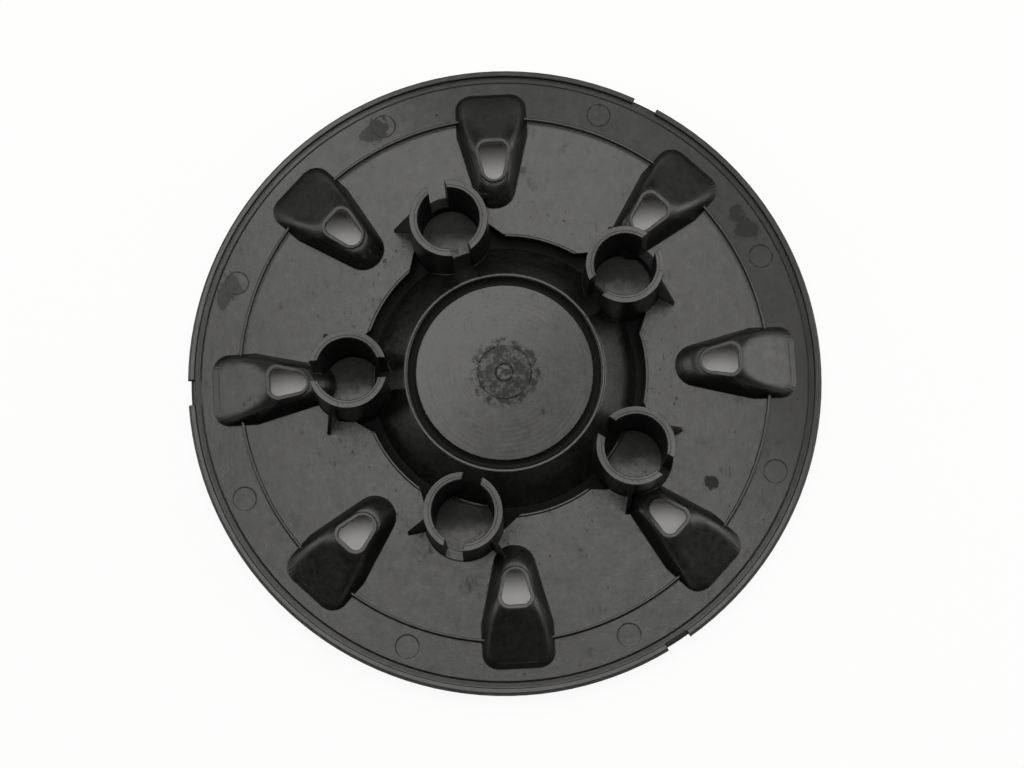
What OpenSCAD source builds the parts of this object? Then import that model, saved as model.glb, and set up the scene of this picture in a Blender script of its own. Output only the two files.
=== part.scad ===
// Wheel hubcap moulded in one piece of black plastic.
// It lies face down: +Z is the back that faces the wheel, and the front edge of the rim rests on z = 0.
// The -X axis runs through a vent, a bolt socket and a rim notch that stand in line.

/* [Rim] */
// Overall diameter, over the flange
rim_d = 234.4; // [228:0.1:242]
// Height of the flange's back edge over the front edge
rim_h = 9.5; // [8.5:0.1:10.5]
// Thickness of every shell wall
wall = 2.3; // [1.8:0.1:2.6]
// Width of the flange, from its inner wall to its widest edge
flange_w = 2.7; // [2.2:0.1:3.4]
// Height of the flange over the band inside it
flange_rise = 1.7; // [1:0.1:2.2]
// Height of the flared outer face of the flange
flange_t = 2.5; // [2:0.1:3]
// Width of the band between the flange and the plate
band_w = 2.5; // [1.5:0.1:3]
// Number of notches in the flange
notch_count = 3; // [1:6]
// Length of a notch along the rim
notch_w = 9.4; // [6:0.1:14]

/* [Plate] */
// Height of the plate's back face at its outer edge
plate_out_z = 8.4; // [7.8:0.1:9]
// Height of the plate's back face at the edge of the well
plate_in_z = 13.5; // [12.5:0.1:14.5]
// Diameter of the stiffening ring on the plate
ring_d = 195.4; // [190:0.1:199]
// Thickness of the stiffening ring at its top
ring_t = 0.9; // [0.6:0.1:1.4]
// Height of the stiffening ring over the plate
ring_h = 2.4; // [1:0.1:4]
// Diameter of the circle of ejector marks
mark_circle_d = 211; // [208:0.1:213]
// Diameter of an ejector mark
mark_d = 8.6; // [6:0.1:9.5]
// Depth of the ejector marks and of the insert lines
mark_depth = 0.15; // [0.1:0.05:0.3]

/* [Vents] */
// Number of vents
vent_count = 8; // [4:8]
// Distance from the centre to the rounded tip of a vent
vent_tip_r = 62.7; // [60:0.1:65]
// Distance from the centre to the outer end of a vent
vent_end_r = 107.7; // [104:0.1:109]
// Width of a vent
vent_w = 26.3; // [23:0.1:29]
// Radius of the rounded tip in plan
vent_tip_round = 7.7; // [6.5:0.1:9]
// Radius of the two outer corners in plan
vent_corner_round = 6.7; // [5:0.1:9]
// Height of the vent's peak, at the outer edge of its lip
vent_top_z = 23.7; // [21:0.1:26]
// Slope of the lip, which falls toward the centre
lip_slope = 0.25; // [0.1:0.01:0.35]
// Width of the lip round the hole
lip_w = 1.5; // [1:0.1:2]
// Height of the lip over the vent's skin
lip_h = 0.4; // [0.2:0.1:0.8]
// Width of the hole across the vent
hole_w = 10.4; // [8:0.1:11.5]
// Length of the hole along the vent
hole_l = 13.1; // [11:0.1:14.5]
// Distance from the centre to the outer edge of the hole
hole_end_r = 85.4; // [84:0.1:87]
// How far the sides of a vent swell beyond straight
vent_swell = 0.8; // [0:0.05:0.9]

/* [Bolt sockets] */
// Diameter of the circle that the sockets stand on
pitch_d = 112; // [110:0.1:114]
// Number of sockets
socket_count = 5; // [3:5]
// Bore of a socket, round a wheel bolt's head
socket_bore = 22.6; // [20:0.1:23.4]
// Wall of a socket at its top
socket_wall = 2.8; // [2:0.1:3.2]
// How much the outer radius of a socket grows from its top to its foot
socket_draft = 0.6; // [0:0.1:0.8]
// Height of the sockets' open ends
socket_top_z = 42.8; // [38:0.1:46]
// Depth of the straight stretch at the mouth of a socket's bore
socket_grip = 20; // [16:0.5:22]
// Width of the two slots in a socket
slot_w = 7; // [5:0.1:8.5]
// Thickness of a gusset
gusset_t = 1.3; // [0.8:0.1:2]
// Distance from a socket's axis to the foot of its gussets
gusset_reach = 20.9; // [18:0.1:23]
// Angle of the two gussets from the outward direction
gusset_a = 63; // [55:75]

/* [Hub] */
// Diameter of the well at the plate's edge
well_d = 104; // [102:0.1:106]
// Height of the well's floor
well_z = 7; // [6.4:0.1:7.6]
// Width of the raised lip along the well's edge
well_lip_w = 0.8; // [0.5:0.1:1.2]
// Height of that lip over the plate
well_lip_h = 0.5; // [0.2:0.1:1]
// Diameter of the hub's crest
crest_d = 72.8; // [71:0.1:76]
// Height of the hub's crest
crest_z = 19.1; // [17.5:0.1:20.5]
// Diameter of the cone's foot in the well
cone_foot_d = 98; // [95:0.1:100]
// Diameter of the centre disc
disc_d = 65.2; // [62:0.1:67]
// Height of the centre disc's back face
disc_z = 18.5; // [17:0.1:19.5]
// Depth of the groove round the disc
groove_depth = 2.4; // [1.5:0.1:3]
// Diameter of the insert line round the centre
insert_d = 19.4; // [15:0.1:24]
// Diameter of the gate mark in the centre
gate_d = 6.2; // [4:0.1:8]

/* [Hidden] */
$fn = 120;

over = 1;                                     // extra length of a cut past the face that it opens
vent_a0 = 180;                                // direction of the first vent
socket_a0 = 180;                              // direction of the first socket
notch_a0 = 180;                               // direction of the first notch
rim_r = rim_d / 2;
flange_in_r = rim_r - flange_w;
band_in_r = flange_in_r - band_w;
band_z = rim_h - flange_rise;
well_r = well_d / 2;
pitch_r = pitch_d / 2;
socket_r = socket_bore / 2 + socket_wall;
crown_z = well_z - wall;                      // front face of the well's floor
plate_slope = (plate_in_z - plate_out_z) / (band_in_r - well_r);
plate_tilt = atan(plate_slope);

// Height of the plate's back face at distance r from the centre
function plate_z(r) = plate_out_z + (band_in_r - r) * plate_slope;

function dir(a) = [cos(a), sin(a)];

// Points of an arc, turning from angle a0 to a1
function arc(c, r, a0, a1, steps = 6) = [for (i = [0:steps]) c + r * dir(a0 + (a1 - a0) * i / steps)];

// Rim

rim_edge_round = 0.4;
edge_round = 0.8;                             // rounding of the front edge, beside the flat that it rests on
skirt_in = 1.2;                               // how far the skirt stands inside the flange's widest edge
skirt_draft = 0.5;

module rim() {
    flare = 0.6;
    foot_r = rim_r - skirt_in - skirt_draft;
    flange_top_r = rim_r - flare - rim_edge_round;
    rotate_extrude()
        polygon(concat(
            [[band_in_r - over, plate_z(band_in_r - over)], [band_in_r, plate_out_z]],
            [[band_in_r + 0.4, band_z + 0.25], [flange_in_r, band_z]],
            arc([flange_in_r + rim_edge_round, rim_h - rim_edge_round], rim_edge_round, 180, 90, 4),
            arc([flange_top_r, rim_h - rim_edge_round], rim_edge_round, 90, 15, 4),
            [[rim_r, rim_h - flange_t], [rim_r - skirt_in, rim_h - flange_t - 0.3]],
            arc([foot_r - edge_round, edge_round], edge_round, 0, -90, 4),
            arc([foot_r - wall + edge_round, edge_round], edge_round, -90, -180, 4),
            [[foot_r - wall - skirt_draft, plate_out_z - wall - 0.6]],
            [[band_in_r - over, plate_z(band_in_r - over) - wall]]));
}

// Gap in the flange that leaves a slanted shoulder on the rim
module notch() {
    shoulder_r = rim_r - skirt_in;
    shoulder_z = band_z - (shoulder_r - flange_in_r);
    intersection() {
        rotate_extrude()
            polygon([[flange_in_r, band_z], [shoulder_r, shoulder_z], [rim_r + over, shoulder_z],
                     [rim_r + over, rim_h + over], [flange_in_r, rim_h + over]]);
        translate([0, -notch_w / 2, 0])
            cube([rim_r + 2 * over, notch_w, rim_h + 2 * over]);
    }
}

// Plate

module plate() {
    in_r = well_r - over;
    rotate_extrude()
        polygon([[in_r, plate_z(in_r)], [band_in_r, plate_out_z],
                 [band_in_r, plate_out_z - wall], [in_r, plate_z(in_r) - wall]]);
}

module stiffening_ring() {
    r = ring_d / 2;
    sunk = wall / 2;
    draft = 0.15;
    rotate_extrude()
        polygon([[r - ring_t / 2 - draft, plate_z(r) - sunk], [r + ring_t / 2 + draft, plate_z(r) - sunk],
                 [r + ring_t / 2, plate_z(r) + ring_h], [r - ring_t / 2, plate_z(r) + ring_h]]);
}

module well_lip() {
    rotate_extrude()
        polygon([[well_r - over, plate_z(well_r) - wall / 2], [well_r + well_lip_w, plate_z(well_r) - wall / 2],
                 [well_r + well_lip_w, plate_z(well_r + well_lip_w) + well_lip_h],
                 [well_r - over, plate_z(well_r - over) + well_lip_h]]);
}

module ejector_marks() {
    r = mark_circle_d / 2;
    for (i = [0:vent_count - 1])
        rotate(vent_a0 + (i + 0.5) * 360 / vent_count)
            translate([r, 0, plate_z(r) - mark_depth])
                rotate([0, plate_tilt, 0])
                    cylinder(d = mark_d, h = over);
}

// Well: a circle whose edge flares out to the flanks of the sockets

flare_start = dir(21.5);                      // where a flare leaves the well's circle, from the socket's axis
flare_a = well_r * flare_start;
flare_way = ([pitch_r, socket_r] - flare_a) / norm([pitch_r, socket_r] - flare_a);
flare_out = [-flare_way.y, flare_way.x] * sign(flare_way.x);
flare_gap = socket_r * flare_out.y;           // distance from the socket's axis to the flare's line
lobe_r = socket_r + 0.4;       // radius of the tub round the foot of a socket

module well_outline(grow, around_socket) {
    start = flare_a + grow * flare_out - 4 * flare_way;
    stop = [pitch_r, 0] + (flare_gap + grow) * flare_out;
    circle(r = well_r + grow);
    for (i = [0:socket_count - 1])
        rotate(socket_a0 + i * 360 / socket_count) {
            polygon([[0, 0], [start.x, -start.y], [stop.x, -stop.y], stop, start]);
            translate([pitch_r, 0])
                circle(r = around_socket);
        }
}

module tub() {
    tub_top_z = plate_z(pitch_r + lobe_r) - 0.25;
    translate([0, 0, crown_z])
        linear_extrude(tub_top_z - crown_z)
            well_outline(wall, lobe_r);
}

module well_space() {
    translate([0, 0, well_z])
        linear_extrude(plate_in_z + well_lip_h + over)
            well_outline(0, socket_r);
}

// Hub: a cone that rises from the well to a crest, with a groove and a disc inside it

crest_round = 1.2;
crest_r = crest_d / 2;
cone_foot_r = cone_foot_d / 2;
disc_r = disc_d / 2;
groove_z = disc_z - groove_depth;
groove_out_r = crest_r - crest_round;
cone_top = [crest_r, crest_z - crest_round];
cone_way = ([cone_foot_r, well_z] - (cone_top + [0.6, 0.9])) / norm([cone_foot_r, well_z] - (cone_top + [0.6, 0.9]));
cone_in = [cone_way.y, -cone_way.x] * wall;   // step from the cone's back face to its front face

module hub() {
    bowl_z = disc_z - wall;
    seat_z = groove_z - wall + 0.3;
    bowl_top = cone_top + [0.6, 0.9] + cone_in;
    bowl_foot = [cone_foot_r, well_z] + cone_in;
    rotate_extrude()
        polygon(concat(
            [[0, disc_z]],
            arc([disc_r - 0.3, disc_z - 0.3], 0.3, 90, 0, 3),
            [[disc_r, groove_z], [groove_out_r, groove_z]],
            arc(cone_top, crest_round, 180, 45, 8),
            [[cone_foot_r, well_z], [cone_foot_r + over, well_z - over], [cone_foot_r, crown_z]],
            [bowl_foot, [bowl_top.x, seat_z], [disc_r - wall, seat_z], [disc_r - wall - 0.5, bowl_z], [0, bowl_z]]));
}

module bowl_space() {
    translate([0, 0, crown_z - over])
        cylinder(r = cone_foot_r, h = plate_in_z);
}

module hub_marks() {
    for (d = [insert_d, gate_d])
        translate([0, 0, disc_z - mark_depth])
            difference() {
                cylinder(d = d + 0.4, h = over);
                translate([0, 0, -over])
                    cylinder(d = d, h = 3 * over);
            }
}

// Bolt sockets

socket_mark_d = 13.2;                         // circular line on the socket's floor
inner_sill = 1.5;                             // height of the sill left under a socket's inner slot
outer_sill = 0.2;                             // height of the sill left under its outer slot, over the plate
bore_draft = 0.3;                             // how much the bore's radius shrinks below its straight mouth

module socket() {
    outer_slot_z = plate_z(pitch_r + socket_r) + outer_sill;
    mouth_z = socket_top_z - socket_grip;
    difference() {
        translate([0, 0, crown_z])
            cylinder(r1 = socket_r + socket_draft, r2 = socket_r, h = socket_top_z - crown_z);
        translate([0, 0, well_z])
            cylinder(r1 = socket_bore / 2 - bore_draft, r2 = socket_bore / 2, h = mouth_z - well_z);
        translate([0, 0, mouth_z])
            cylinder(d = socket_bore, h = socket_grip + over);
        translate([0, -slot_w / 2, outer_slot_z])
            cube([2 * socket_r, slot_w, socket_top_z]);
        translate([-2 * socket_r, -slot_w / 2, well_z + inner_sill])
            cube([2 * socket_r, slot_w, socket_top_z]);
        translate([0, 0, well_z - mark_depth])
            difference() {
                cylinder(d = socket_mark_d + 0.4, h = 2 * mark_depth);
                translate([0, 0, -over])
                    cylinder(d = socket_mark_d, h = 3 * over);
            }
    }
}

module gusset() {
    root = (socket_bore + socket_wall) / 2;
    foot_z = plate_z(pitch_r + gusset_reach * cos(gusset_a));
    sunk = 0.6;
    rotate([90, 0, 0])
        translate([0, 0, -gusset_t / 2])
            linear_extrude(gusset_t)
                polygon([[root, foot_z - sunk], [gusset_reach, foot_z - sunk], [gusset_reach, foot_z + 0.3],
                         [socket_r - 0.2, socket_top_z - 1.5], [root, socket_top_z - 1.5]]);
}

module at_sockets() {
    for (i = [0:socket_count - 1])
        rotate(socket_a0 + i * 360 / socket_count)
            translate([pitch_r, 0, 0])
                children();
}

// Vents: each is a skin lofted from its outline on the plate to the outline of its lip

loft_points = 32;
belly_round = 10.1;                           // radius of the vent's flanks in plan
belly_r = 92;                                 // distance from the centre to the widest place
hole_tip_round = 3.7;
hole_corner_round = 2.8;

// Corners of the vent's outline in plan, shrunk by s: centre x, centre y and radius
function vent_corners(s) = [
    [vent_tip_r + vent_tip_round, 0, vent_tip_round - s],
    for (y = [-1, 1]) [belly_r, y * (vent_w / 2 - belly_round), belly_round - s],
    for (y = [-1, 1]) [vent_end_r - vent_corner_round, y * (vent_w / 2 - vent_corner_round), vent_corner_round - s]];

// Corners of the hole's outline in plan, grown by g
function hole_corners(g) = [
    [hole_end_r - hole_l + hole_tip_round, 0, hole_tip_round + g],
    for (y = [-1, 1]) [hole_end_r - hole_corner_round, y * (hole_w / 2 - hole_corner_round), hole_corner_round + g]];

// Point where an outline of round corners and straight sides faces direction a
function facing_point(corners, a) =
    let (reach = [for (c = corners) c[0] * cos(a) + c[1] * sin(a) + c[2]])
    let (c = corners[search(max(reach), reach)[0]])
    [c[0] + c[2] * cos(a), c[1] + c[2] * sin(a)];

function facing(i) = (i + 0.5) * 360 / loft_points;
function outline(corners) = [for (i = [0:loft_points - 1]) facing_point(corners, facing(i))];

// Height of the lip's plane at distance x along the vent
function lip_z(x) = vent_top_z + (x - hole_end_r - lip_w) * lip_slope;

// Share of the rise at share s of the run: straight on the ramp that faces outward, swollen elsewhere
function rise(s, i) = s + vent_swell * (1 - pow(max(0, cos(facing(i))), 2)) * s * (1 - s);

// Rings of points from the foot to the top of a vent's skin, lowered by drop
function loft_ring(foot, top, s, drop) = [
    for (i = [0:loft_points - 1])
        let (p = foot[i] + (top[i] - foot[i]) * s)
        let (z0 = plate_z(foot[i].x), z1 = lip_z(top[i].x) - lip_h)
        [p.x, p.y, z0 + (z1 - z0) * rise(s, i) - drop]];

module loft(foot, top, steps, drop, sunk) {
    n = loft_points;
    start = [for (i = [0:n - 1])
        let (p = foot[i] - (top[i] - foot[i]) * sunk / 15)
        [p.x, p.y, plate_z(p.x) - sunk - drop]];
    rings = concat([start], [for (s = steps) loft_ring(foot, top, s, drop)]);
    sides = [for (k = [0:len(steps) - 1], i = [0:n - 1])
        let (a = k * n + i, b = k * n + (i + 1) % n)
        each [[a, a + n, b + n], [a, b + n, b]]];
    polyhedron(
        points = [for (ring = rings) each ring],
        faces = concat([[for (i = [0:n - 1]) i]], sides, [[for (i = [n - 1:-1:0]) len(steps) * n + i]]));
}

module vent_skin() {
    loft(outline(vent_corners(0)), outline(hole_corners(lip_w)), [0.18, 0.4, 0.65, 0.85, 1], 0, wall / 2);
}

module vent_space() {
    loft(outline(vent_corners(wall)), outline(hole_corners(0.5)), [0.3, 0.7, 1], wall, over);
    translate([0, 0, crown_z - over])
        linear_extrude(plate_in_z - crown_z - wall)
            polygon(outline(vent_corners(wall)));
}

module vent_root() {
    translate([0, 0, crown_z])
        linear_extrude(plate_in_z - crown_z - wall / 2)
            polygon(outline(vent_corners(0)));
}

module vent_lip() {
    tilt = atan(lip_slope);
    translate([hole_end_r, 0, lip_z(hole_end_r)])
        rotate([0, -tilt, 0])
            translate([0, 0, -lip_h - 0.6])
                linear_extrude(lip_h + 0.6)
                    translate([-hole_end_r, 0])
                        polygon(outline(hole_corners(lip_w)));
}

module vent_hole() {
    translate([0, 0, plate_in_z])
        linear_extrude(vent_top_z)
            polygon(outline(hole_corners(0)));
}

module at_vents() {
    for (i = [0:vent_count - 1])
        rotate(vent_a0 + i * 360 / vent_count)
            children();
}

// The whole cover

module shell() {
    difference() {
        union() {
            plate();
            well_lip();
            tub();
        }
        well_space();
        bowl_space();
        ejector_marks();
    }
    difference() {
        rim();
        for (i = [0:notch_count - 1])
            rotate(notch_a0 + i * 360 / notch_count)
                notch();
    }
    stiffening_ring();
    difference() {
        hub();
        hub_marks();
    }
}

module hubcap() {
    color("#2f3131")
        difference() {
            union() {
                shell();
                at_sockets() {
                    socket();
                    for (side = [-1, 1])
                        rotate(side * gusset_a)
                            gusset();
                }
                intersection() {
                    at_vents()
                        vent_root();
                    at_sockets()
                        translate([0, 0, crown_z])
                            cylinder(r = socket_r, h = plate_in_z);
                }
                at_vents() {
                    vent_skin();
                    vent_lip();
                }
            }
            at_vents() {
                vent_space();
                vent_hole();
            }
        }
}

hubcap();
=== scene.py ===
"""Hubcap moulded in one piece of black plastic, lying face down on a pale floor."""
from math import cos, pi, radians, sin

import bpy
from mathutils import Matrix, Vector

MM = 0.001
WHITE = (1, 1, 1, 1)

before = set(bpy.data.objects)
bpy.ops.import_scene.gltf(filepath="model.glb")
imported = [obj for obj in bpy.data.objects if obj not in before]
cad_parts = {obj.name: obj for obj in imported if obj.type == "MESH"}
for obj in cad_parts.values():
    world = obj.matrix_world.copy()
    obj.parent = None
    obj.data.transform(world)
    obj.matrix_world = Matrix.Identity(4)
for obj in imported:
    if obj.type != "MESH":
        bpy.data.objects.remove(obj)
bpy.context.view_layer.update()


# Colour and node helpers

def srgb(hex_colour):
    """The linear colour of an sRGB hex value such as "2b2c2c"."""
    channels = []
    for place in (0, 2, 4):
        value = int(hex_colour[place:place + 2], 16) / 255
        channels.append(value / 12.92 if value <= 0.04045 else ((value + 0.055) / 1.055) ** 2.4)
    return (*channels, 1.0)


def add(tree, kind, feeds=None, **settings):
    """Adds a node with its settings; feeds gives each input a value or another node's output."""
    node = tree.nodes.new(kind)
    for name, value in settings.items():
        setattr(node, name, value)
    for place, feed in (feeds or {}).items():
        if isinstance(feed, bpy.types.NodeSocket):
            tree.links.new(feed, node.inputs[place])
        else:
            node.inputs[place].default_value = feed
    return node


def blank_material(name):
    material = bpy.data.materials.new(name)
    material.use_nodes = True
    material.node_tree.nodes.clear()
    return material


class Pattern:
    """Builds masks over a surface from its place in millimetres."""

    def __init__(self, tree):
        self.tree = tree
        metres = add(tree, "ShaderNodeTexCoord").outputs["Object"]
        self.place = self.vector("MULTIPLY", metres, (1000, 1000, 1000)).outputs[0]
        parts = add(tree, "ShaderNodeSeparateXYZ", {0: self.place})
        self.x, self.y, self.z = (parts.outputs[axis] for axis in "XYZ")
        self.flat = self.vector("MULTIPLY", self.place, (1, 1, 0)).outputs[0]
        self.radius = self.vector("LENGTH", self.flat).outputs["Value"]

    def math(self, operation, a, b=0.0, c=0.0):
        return add(self.tree, "ShaderNodeMath", {0: a, 1: b, 2: c}, operation=operation).outputs[0]

    def vector(self, operation, a, b=(0, 0, 0)):
        return add(self.tree, "ShaderNodeVectorMath", {0: a, 1: b}, operation=operation)

    def line(self, value, low, high, out_low=0.0, out_high=1.0, kind="LINEAR"):
        """A ramp of value from low to high, straight unless kind says otherwise."""
        feeds = {0: value, 1: low, 2: high, 3: out_low, 4: out_high}
        return add(self.tree, "ShaderNodeMapRange", feeds, interpolation_type=kind).outputs[0]

    def step(self, value, low, high, out_low=0.0, out_high=1.0):
        """A smooth ramp of value from low to high. On noise, a mark comes in between those two values."""
        return self.line(value, low, high, out_low, out_high, "SMOOTHSTEP")

    def below(self, value, high, fade):
        """1 where value is less than high, fading in over the length fade under it."""
        return self.step(value, high - fade, high, 1.0, 0.0)

    def band(self, value, middle, half_width, fade):
        """1 where value is within half_width of middle."""
        off = self.math("ABSOLUTE", self.math("SUBTRACT", value, middle))
        return self.step(off, half_width, half_width + fade, 1.0, 0.0)

    def noise(self, size, stretch=(1, 1, 1), detail=3.0, rough=0.5):
        """Cloudy noise whose blotches are about size millimetres wide, along each axis times stretch."""
        scaled = self.vector("MULTIPLY", self.place, tuple(1 / (size * s) for s in stretch)).outputs[0]
        feeds = {"Vector": scaled, "Scale": 1.0, "Detail": detail, "Roughness": rough}
        return add(self.tree, "ShaderNodeTexNoise", feeds).outputs[0]

    def spot(self, x, y, reach, ragged):
        """1 at a place on the back, fading out at reach, with a ragged edge."""
        gap = self.vector("DISTANCE", self.flat, (x, y, 0)).outputs["Value"]
        edge = self.math("MULTIPLY_ADD", ragged, SPOT_RAGGED * reach, gap)
        return self.step(edge, 0.85 * reach, 1.15 * reach, 1.0, 0.0)

    def from_nearest(self, count, first_angle, radius):
        """Measures from the nearest of count places that stand evenly on a circle.

        Gives the distance on the back, and how far the surface lies toward +Y from that place.
        """
        angle = self.math("ARCTAN2", self.y, self.x)
        from_first = self.math("SUBTRACT", angle, radians(first_angle))
        turn = self.math("WRAP", from_first, pi / count, -pi / count)
        along = self.math("SUBTRACT", self.math("MULTIPLY", self.radius, self.math("COSINE", turn)), radius)
        across = self.math("MULTIPLY", self.radius, self.math("SINE", turn))
        across_squared = self.math("MULTIPLY", across, across)
        gap = self.math("SQRT", self.math("MULTIPLY_ADD", along, along, across_squared))
        place_y = self.math("MULTIPLY", self.math("SINE", self.math("SUBTRACT", angle, turn)), radius)
        return gap, self.math("SUBTRACT", self.y, place_y)

    def opposite(self, mask):
        return self.math("SUBTRACT", 1.0, mask)

    def largest(self, *masks):
        result = masks[0]
        for mask in masks[1:]:
            result = self.math("MAXIMUM", result, mask)
        return result

    def product(self, *factors):
        result = factors[0]
        for factor in factors[1:]:
            result = self.math("MULTIPLY", result, factor)
        return result

    def total(self, start, *terms):
        """start plus the sum of each value times its weight."""
        for value, weight in terms:
            start = self.math("MULTIPLY_ADD", value, weight, start)
        return start

    def blend(self, share, a, b):
        """Colour a, or b where share is 1."""
        feeds = {"Factor": share, "A": a, "B": b}
        return add(self.tree, "ShaderNodeMix", feeds, data_type="RGBA").outputs["Result"]


# Sizes of the moulding that the surface detail lines up with, in millimetres

SOCKETS = 5
VENTS = 8
FIRST_ANGLE = 180                             # direction of the first socket and the first vent, in degrees
DISC_R = 32.6
DISC_Z = 18.5
INSERT_R = 9.8
GATE_R = 3.2
TURNING_STEP = 1.9                            # distance between the rings that turning left on the disc
GROOVE_OUT_R = 35.2
GROOVE_MID_R = (DISC_R + GROOVE_OUT_R) / 2
GROOVE_Z = 16.1
CONE_FOOT_R = 49.0
WELL_R = 52.0
WELL_Z = 7.0
SOCKET_CIRCLE_R = 56.0
SOCKET_BORE_R = 11.3
SOCKET_R = 14.1
SOCKET_TOP_Z = 42.8
SOCKET_LINE_R = 6.7                           # circular line on a socket's floor
GUSSET_END_R = 21                             # no gusset reaches further from its socket's axis
SILL_Z = 11.7                                 # sill under the outward slot of a socket
PLATE_R = 112.0
PLATE_IN_Z = 13.5                             # the plate's back face at the well, and at PLATE_R
PLATE_OUT_Z = 8.4
VENTS_FROM_R = 62.0                           # the vents lie outside this distance
HOLE_CIRCLE_R = 79.0
LIPS_FROM_Z = 18.0                            # the vents' lips lie above this height
RING_R = 97.7                                 # stiffening ring
MARK_R = 4.3                                  # ejector marks, on a circle of MARK_CIRCLE_R
MARK_CIRCLE_R = 105.5
RIM_WALL_R = 114.5                            # walls outside this are the rim's
EDGE_ROUND = 0.6                              # rounding of every edge in the shading
VENT_ROUND = 3.5                              # and of the creases of the vents
DARK_SILLS_Y = -46.0                          # the sill further toward -Y than this gets no painted shade
SPOT_RAGGED = 3.2                             # how strongly noise frays a smear's edge, for its reach
SMEARS = [                                    # x, y, reach and strength of each dull, dark smear on the back
    (-43.0, 96.0, 4.6, 0.45),
    (-47.0, 94.5, 2.6, 0.4),
    (-99.5, 39.0, 4.8, 0.45),
    (-103.0, 34.0, 3.0, 0.4),
    (93.0, 51.0, 4.0, 0.36),
    (89.5, 57.0, 3.4, 0.32),
    (73.5, -43.3, 2.4, 0.9),
]

# Looks of the plastic

SKIN_DARK = srgb("0b0b0a")
SKIN_LIGHT = srgb("191918")
# pale of scuffs, and of painted highlights on edges and lips
SCUFF_AND_HIGHLIGHT = srgb("5b5a58")
# dark of dirt, and of painted shade on walls and in recesses
DIRT_AND_SHADE = srgb("070707")
ABS_IOR = 1.53


class Moulding(Pattern):
    """Noise of each kind on the cover's skin, and masks of the places that its marks and its painted shade
    keep to.
    """

    def __init__(self, tree):
        super().__init__(tree)
        self.add_noise()
        self.add_places()
        self.add_rounding()

    def add_noise(self):
        self.clouds = self.noise(30, detail=4)
        self.mottle = self.noise(2.6, detail=5, rough=0.7)
        self.streaks = self.noise(1.2, stretch=(1, 6, 1), detail=3, rough=0.6)
        self.grain = self.noise(0.55, detail=2)
        self.patches = self.noise(4.5, detail=6, rough=0.7)
        self.blotches = self.noise(2.2, detail=6, rough=0.75)
        self.hairlines = self.noise(0.9, stretch=(1, 9, 1), detail=4, rough=0.7)
        self.ragged = self.math("SUBTRACT", self.noise(4.0, detail=6, rough=0.7), 0.5)

    def add_places(self):
        self.normal = add(self.tree, "ShaderNodeNewGeometry").outputs["Normal"]
        # upward is the cosine of the skin's slope
        upward = add(self.tree, "ShaderNodeSeparateXYZ", {0: self.normal}).outputs["Z"]
        self.level = self.step(upward, 0.9, 0.96)
        # steep walls, which the colour paints dark as shade
        self.wall = self.step(upward, 0.5, 0.2)
        # the rim's outer wall, painted dark as shade
        self.rim_wall = self.product(self.wall, self.step(self.radius, RIM_WALL_R, RIM_WALL_R + 0.5))

        self.on_disc = self.product(self.below(self.radius, DISC_R, 0.3),
                                    self.step(self.z, DISC_Z - 0.5, DISC_Z - 0.2))
        # the groove round the disc, painted dark as shade
        in_groove = self.band(self.radius, GROOVE_MID_R, GROOVE_OUT_R - GROOVE_MID_R, 0.05)
        self.groove = self.product(in_groove, self.step(self.z, GROOVE_Z + 0.6, GROOVE_Z + 0.2))
        self.by_well = self.band(self.radius, WELL_R + 7, 5, 7)

        self.to_socket, self.up_socket = self.from_nearest(SOCKETS, FIRST_ANGLE, SOCKET_CIRCLE_R)
        self.socket_end = self.step(self.z, SOCKET_TOP_Z - 0.5, SOCKET_TOP_Z - 0.1)
        floor_height = self.step(self.z, WELL_Z + 1, WELL_Z + 0.2)
        self.socket_floor = self.product(self.below(self.to_socket, SOCKET_BORE_R - 0.3, 0.4), floor_height)
        self.socket_line = self.product(self.band(self.to_socket, SOCKET_LINE_R, 0.1, 0.3), floor_height)
        # the -Y side of each socket's floor, which gets pale dust; the +Y side gets painted shade
        self.dusty_unshaded_side = self.step(self.total(self.up_socket, (self.ragged, 8.0)), -5.0, 3.0, 1.0, 0.0)
        # the sill under a socket's outward slot, painted dark as shade except on the side toward -Y
        self.sill = self.product(self.band(self.z, SILL_Z, 0.8, 0.3),
                                 self.below(self.to_socket, SOCKET_R + 0.7, 0.3),
                                 self.level, self.step(self.y, DARK_SILLS_Y - 2, DARK_SILLS_Y + 2))
        # the flat strip at the well's foot, painted dark as shade
        self.well_foot = self.product(self.step(self.z, WELL_Z + 0.5, WELL_Z + 0.2),
                                      self.step(self.to_socket, SOCKET_BORE_R, SOCKET_R),
                                      self.step(self.radius, CONE_FOOT_R - 1, CONE_FOOT_R))

        to_hole, _ = self.from_nearest(VENTS, FIRST_ANGLE, HOLE_CIRCLE_R)
        plate_z = self.line(self.radius, WELL_R, PLATE_R, PLATE_IN_Z, PLATE_OUT_Z)
        over_plate = self.math("SUBTRACT", self.z, plate_z)
        self.vent_skin = self.product(self.step(over_plate, 1.8, 5.0), self.step(to_hole, 7.5, 10.5),
                                      self.step(self.to_socket, GUSSET_END_R, GUSSET_END_R + 2),
                                      self.step(self.radius, VENTS_FROM_R - 2, VENTS_FROM_R))

    def add_rounding(self):
        """Rounds edges a little, and the vents' creases more. What the rounding turns is an edge."""
        radius = self.total(EDGE_ROUND * MM, (self.vent_skin, (VENT_ROUND - EDGE_ROUND) * MM))
        self.rounded_normal = add(self.tree, "ShaderNodeBevel", {"Radius": radius}, samples=10).outputs[0]
        kept = self.vector("DOT_PRODUCT", self.rounded_normal, self.normal).outputs["Value"]
        # edges are paled later, partly as wear and partly as painted highlight
        self.edge = self.product(self.step(kept, 0.9, 0.75), self.step(self.mottle, 0.3, 0.6),
                                 self.opposite(self.vent_skin))


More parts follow.
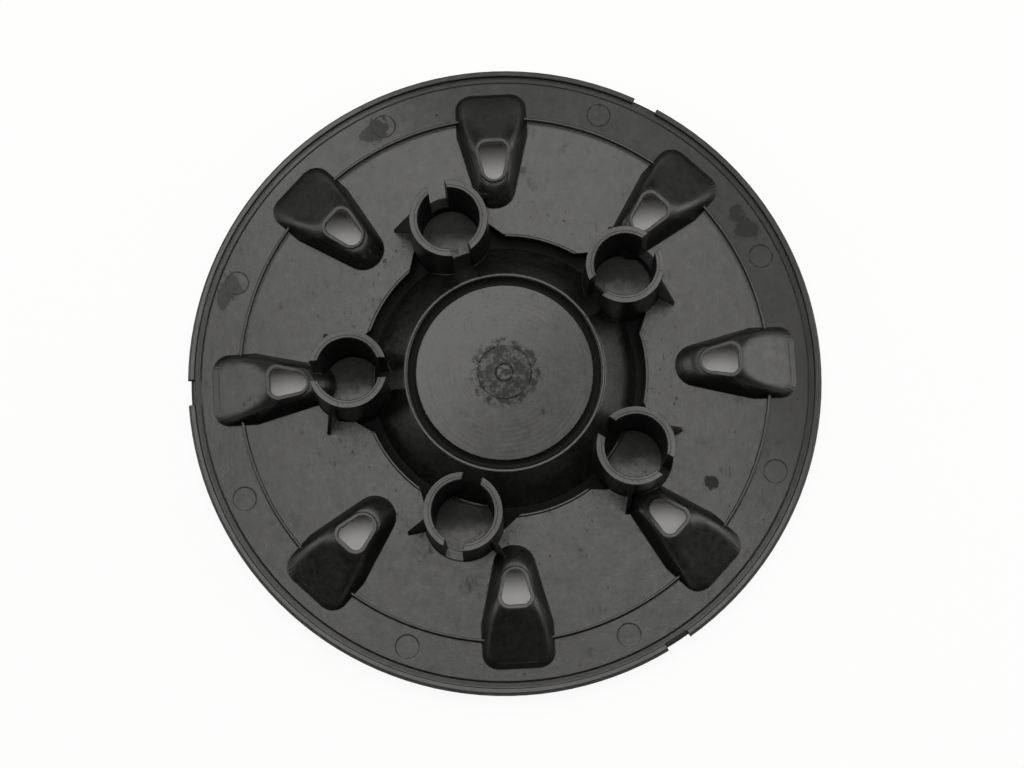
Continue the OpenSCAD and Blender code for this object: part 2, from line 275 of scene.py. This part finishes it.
def pale_scuffs_and_highlights(at):
    """Pale wear beside the well and on the sockets' ends and floors, pale wear with painted highlight on
    edges, and painted highlight on the vents' lips.
    """
    well_side = at.product(at.by_well, at.step(at.patches, 0.55, 0.66), at.step(at.hairlines, 0.42, 0.6))
    chalky = at.step(at.patches, 0.4, 0.62)
    socket_line = at.product(at.socket_line, at.step(at.patches, 0.4, 0.5))
    outside_sockets = SOCKET_CIRCLE_R + SOCKET_R + 1
    # painted highlight along the vents' lips
    lip = at.product(at.step(at.radius, outside_sockets - 0.2, outside_sockets + 0.2),
                     at.step(at.z, LIPS_FROM_Z - 0.5, LIPS_FROM_Z + 0.5), at.edge)
    return at.largest(at.product(well_side, 0.5), at.product(at.socket_end, chalky, 0.3),
                      at.product(at.socket_floor, at.dusty_unshaded_side, chalky, 0.25), at.product(at.edge, 0.4),
                      at.product(lip, 0.8), at.product(socket_line, 0.9))


def disc_dirt(at):
    """A worn halo round the insert in the disc, dirt on the insert, and the lines of insert and gate."""
    worn = at.step(at.total(at.radius, (at.ragged, 9.0)), INSERT_R + 1.5, INSERT_R + 3.5, 1.0, 0.0)
    halo = at.product(worn, at.step(at.blotches, 0.44, 0.54), 0.6)
    insert_line = at.product(at.band(at.radius, INSERT_R, 0.12, 0.3), at.step(at.patches, 0.44, 0.54))
    gate_line = at.product(at.band(at.radius, GATE_R, 0.25, 0.5), at.step(at.mottle, 0.35, 0.5), 0.9)
    insert = at.product(at.below(at.radius, INSERT_R, 0.4), at.step(at.radius, GATE_R - 0.4, GATE_R),
                        at.step(at.blotches, 0.36, 0.64, 0.05, 0.6))
    return at.product(at.largest(halo, insert_line, gate_line, insert), at.on_disc)


def dark_marks_and_shade(at):
    """Outlines of the ejector marks, beads on the sockets' ends, smears, specks and nicks, and painted shade
    in the groove, at the well's foot, on sills, on the sockets' floors and on the rim's wall.
    """
    to_mark, _ = at.from_nearest(VENTS, FIRST_ANGLE + 180 / VENTS, MARK_CIRCLE_R)
    outline = at.product(at.band(to_mark, MARK_R, 0.08, 0.25), at.step(at.mottle, 0.35, 0.6), 0.7)
    bead = at.product(at.band(at.to_socket, SOCKET_BORE_R + 1.0, 0.06, 0.2), at.socket_end, 0.6)
    grimy = at.step(at.noise(9, detail=6, rough=0.75), 0.56, 0.68)
    grime = at.product(grimy, at.step(at.hairlines, 0.4, 0.6), 0.35)
    cells = add(at.tree, "ShaderNodeTexVoronoi", {"Vector": at.place, "Scale": 0.11}, feature="F1")
    near_cell = at.step(cells.outputs["Distance"], 0.03, 0.045, 1.0, 0.0)
    specks = at.product(near_cell, at.step(at.clouds, 0.5, 0.56), 0.8)
    nicks = at.product(at.by_well, at.step(at.noise(1.1, (1, 2, 1), 2), 0.66, 0.72), 0.5)
    # painted shade on the +Y side of the sockets' floors
    painted_floor_shade = at.product(at.socket_floor, at.opposite(at.dusty_unshaded_side), 0.6)
    smears = [at.product(at.spot(x, y, reach, at.ragged), strength) for x, y, reach, strength in SMEARS]
    # the groove, the well's foot, the sills and the rim's wall join in as painted shade
    return at.largest(disc_dirt(at), outline, bead, specks, grime, nicks, painted_floor_shade,
                      at.groove, at.well_foot, at.sill, at.rim_wall, *smears)


def turned_rings(at):
    """Faint, patchy rings that turning left in the disc's mould: -1 to 1 across each ring."""
    wave = at.math("SINE", at.total(at.product(at.clouds, 9.0), (at.radius, 2 * pi / TURNING_STEP)))
    return at.product(wave, at.step(at.noise(16, detail=2), 0.36, 0.62), at.on_disc)


def roughness(at, rings, dark, pale):
    """Dirt, painted shade, scuffs and painted highlights are duller than the clean skin, and so are slopes
    and one side of the disc and rim.
    """
    disc_side = at.product(at.step(at.math("SUBTRACT", at.x, at.y), -45, 35), at.on_disc, 0.27)
    rim_side = at.product(at.step(at.radius, RING_R - 0.2, RING_R + 0.8),
                          at.step(at.math("ADD", at.x, at.y), 20, 110), at.level, 0.24)
    skin = at.total(0.10, (at.mottle, 0.28), (at.opposite(at.level), 0.07), (rings, 0.025),
                    (at.noise(6, detail=4, rough=0.6), 0.16))
    sided = at.math("ADD", skin, at.math("MAXIMUM", disc_side, rim_side))
    return at.total(sided, (at.on_disc, -0.12), (dark, 0.5), (pale, 0.2))


def relief(at, rings):
    """Height in millimetres of the skin's grain, and of the forms that are too small for the solid."""
    grain = at.total(0.0, (at.grain, 0.022), (at.streaks, 0.020), (at.patches, 0.085), (rings, 0.011),
                     (at.product(at.blotches, at.on_disc), 0.12))
    # The groove narrows to a V, and the cone runs on to the well's wall
    from_middle = at.math("ABSOLUTE", at.math("SUBTRACT", at.radius, GROOVE_MID_R))
    past_cone = at.math("MAXIMUM", at.math("SUBTRACT", at.radius, CONE_FOOT_R), 0.0)
    # The sockets' ends slope inward, and their floors and sills are dished toward +Y
    dish = at.math("MAXIMUM", at.math("ADD", at.up_socket, 7.0), 0.0)
    return at.total(grain, (at.product(from_middle, at.groove), 1.6),
                    (at.product(past_cone, at.well_foot), -0.9),
                    (at.product(at.to_socket, at.socket_end), 0.14),
                    (at.product(dish, dish, at.socket_floor), 0.010),
                    (at.product(at.up_socket, at.sill), 0.5))


def moulded_plastic():
    """Black ABS as it leaves the mould: a satin skin with fine grain, faint flow marks and handling marks,
    with painted shade on its walls and in its recesses and painted highlights on its edges.
    """
    material = blank_material("moulded_abs_black")
    tree = material.node_tree
    at = Moulding(tree)
    pale = pale_scuffs_and_highlights(at)
    dark = dark_marks_and_shade(at)
    rings = turned_rings(at)
    tone = at.total(0.0, (at.clouds, 0.3), (at.streaks, 0.2), (at.mottle, 0.5))
    clean = at.blend(at.step(tone, 0.38, 0.62), SKIN_DARK, SKIN_LIGHT)
    # pale scuffs, and painted highlights on edges and lips
    scuffed_and_highlit = at.blend(pale, clean, SCUFF_AND_HIGHLIGHT)
    # steep walls and the recesses take the dark colour as painted shade; smears, specks, nicks and the disc's
    # marks take it as dirt
    colour = at.blend(at.math("MAXIMUM", dark, at.wall), scuffed_and_highlit, DIRT_AND_SHADE)
    bump = add(tree, "ShaderNodeBump", {"Height": relief(at, rings), "Strength": 1.0, "Distance": MM,
                                        "Normal": at.rounded_normal})
    skin = add(tree, "ShaderNodeBsdfPrincipled", {"Base Color": colour,
                                                  "Roughness": roughness(at, rings, dark, pale),
                                                  "Normal": bump.outputs[0], "IOR": ABS_IOR})
    add(tree, "ShaderNodeOutputMaterial", {"Surface": skin.outputs[0]})
    return material


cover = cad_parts["hubcap"]
cover.data.materials.clear()
cover.data.materials.append(moulded_plastic())


# Floor: a white board that keeps the cover's shadow

COVERED_R = 112.0                             # the board inside this distance is seen only through the vents
BESIDE = 0.92                                 # share of plain white that the board shows beside the cover
UNDER_VENT = 0.11                             # and, as painted light, below the brighter end of a vent's hole


def white_board():
    """Matt white board, which the camera sees as nearly plain white beside the cover, and which glows faintly
    with painted light below the vents' holes.
    """
    material = blank_material("matt_white_board")
    tree = material.node_tree
    at = Pattern(tree)
    ray = add(tree, "ShaderNodeLightPath")
    seen = at.math("MAXIMUM", ray.outputs["Is Camera Ray"], ray.outputs["Is Glossy Ray"])
    _, up_hole = at.from_nearest(VENTS, FIRST_ANGLE, HOLE_CIRCLE_R)
    # painted light: a faint glow on the covered board below the -Y end of each vent's hole
    painted_glow_under_hole = at.step(up_hole, -2, 8, UNDER_VENT, 0.0)
    shown = at.step(at.radius, COVERED_R - 1, COVERED_R + 1, painted_glow_under_hole, BESIDE)
    share = at.product(seen, shown)
    board = add(tree, "ShaderNodeBsdfDiffuse", {"Color": srgb("f2f1ef")})
    plain = add(tree, "ShaderNodeEmission", {"Color": WHITE, "Strength": 1.0})
    mixed = add(tree, "ShaderNodeMixShader", {0: share, 1: board.outputs[0], 2: plain.outputs[0]})
    add(tree, "ShaderNodeOutputMaterial", {"Surface": mixed.outputs[0]})
    return material


def floor():
    half = 3.0
    corners = [(-half, -half, 0), (half, -half, 0), (half, half, 0), (-half, half, 0)]
    mesh = bpy.data.meshes.new("floor")
    mesh.from_pydata(corners, [], [(0, 1, 2, 3)])
    mesh.materials.append(white_board())
    piece = bpy.data.objects.new("floor", mesh)
    bpy.context.scene.collection.objects.link(piece)
    return piece


floor()


# Light: a broad soft box on each side and one overhead, with a little light from all round

SOFT_BOXES = [                                # name, place and size in metres, and power in watts
    ("soft_box_left", (-1.15, 0.1, 0.45), (0.8, 0.55), 4.6),
    ("soft_box_right", (1.15, 0.1, 0.45), (0.9, 0.6), 6.8),
    ("soft_box_overhead", (0.0, 0.38, 1.4), (1.25, 1.6), 20.2),
]
LAMP_COLOUR = srgb("fffefb")[:3]
ALL_ROUND = 0.02                              # strength of the light from all round


def soft_box(name, place, size, power):
    light = bpy.data.lights.new(name, "AREA")
    light.shape = "RECTANGLE"
    light.size, light.size_y = size
    light.energy = power
    light.color = LAMP_COLOUR
    lamp = bpy.data.objects.new(name, light)
    lamp.location = place
    lamp.rotation_euler = (Vector((0, 0, 0)) - Vector(place)).to_track_quat("-Z", "Y").to_euler()
    bpy.context.scene.collection.objects.link(lamp)


def studio_world():
    """Dim white light from all round, which the camera itself sees as plain white."""
    world = bpy.data.worlds.new("studio")
    world.use_nodes = True
    tree = world.node_tree
    tree.nodes.clear()
    ray = add(tree, "ShaderNodeLightPath")
    around = add(tree, "ShaderNodeBackground", {"Color": WHITE, "Strength": ALL_ROUND})
    behind = add(tree, "ShaderNodeBackground", {"Color": WHITE, "Strength": 1.0})
    sky = add(tree, "ShaderNodeMixShader", {0: ray.outputs["Is Camera Ray"], 1: around.outputs[0],
                                            2: behind.outputs[0]})
    add(tree, "ShaderNodeOutputWorld", {"Surface": sky.outputs[0]})
    return world


for box in SOFT_BOXES:
    soft_box(*box)
bpy.context.scene.world = studio_world()


# Camera: almost straight above, leaning a little, as fitted to the photograph

PHOTO_SIZE = (1024, 768)
FOCAL_PIXELS = 2706                           # focal length in the photograph's pixels
AIM_PIXEL = (504.54, 377.1)                   # where the photograph shows the point that the camera aims at
AIM = Vector((0, 0, 8 * MM))
DISTANCE = 1.0
LEAN = radians(9.64)
LEAN_AXIS = radians(2.38)
PART_TURN = radians(2.98)                     # how far the cover is turned in the photograph


def camera():
    across = Vector((cos(LEAN_AXIS), sin(LEAN_AXIS), 0))
    along = Vector((-sin(LEAN_AXIS), cos(LEAN_AXIS), 0))
    toward = cos(LEAN) * Vector((0, 0, 1)) - sin(LEAN) * along
    rising = cos(LEAN) * along + sin(LEAN) * Vector((0, 0, 1))
    right = cos(LEAN_AXIS) * across - sin(LEAN_AXIS) * rising
    up = sin(LEAN_AXIS) * across + cos(LEAN_AXIS) * rising
    view = Matrix((right, up, toward)).transposed().to_4x4()
    view.translation = AIM + DISTANCE * toward
    data = bpy.data.cameras.new("camera")
    data.sensor_fit = "HORIZONTAL"
    data.sensor_width = 36
    data.lens = FOCAL_PIXELS / PHOTO_SIZE[0] * data.sensor_width
    data.shift_x = (PHOTO_SIZE[0] / 2 - AIM_PIXEL[0]) / PHOTO_SIZE[0]
    data.shift_y = (AIM_PIXEL[1] - PHOTO_SIZE[1] / 2) / PHOTO_SIZE[0]
    eye = bpy.data.objects.new("camera", data)
    eye.matrix_world = Matrix.Rotation(-PART_TURN, 4, "Z") @ view
    bpy.context.scene.collection.objects.link(eye)
    return eye


bpy.context.scene.camera = camera()
bpy.context.scene.view_settings.view_transform = "Standard"
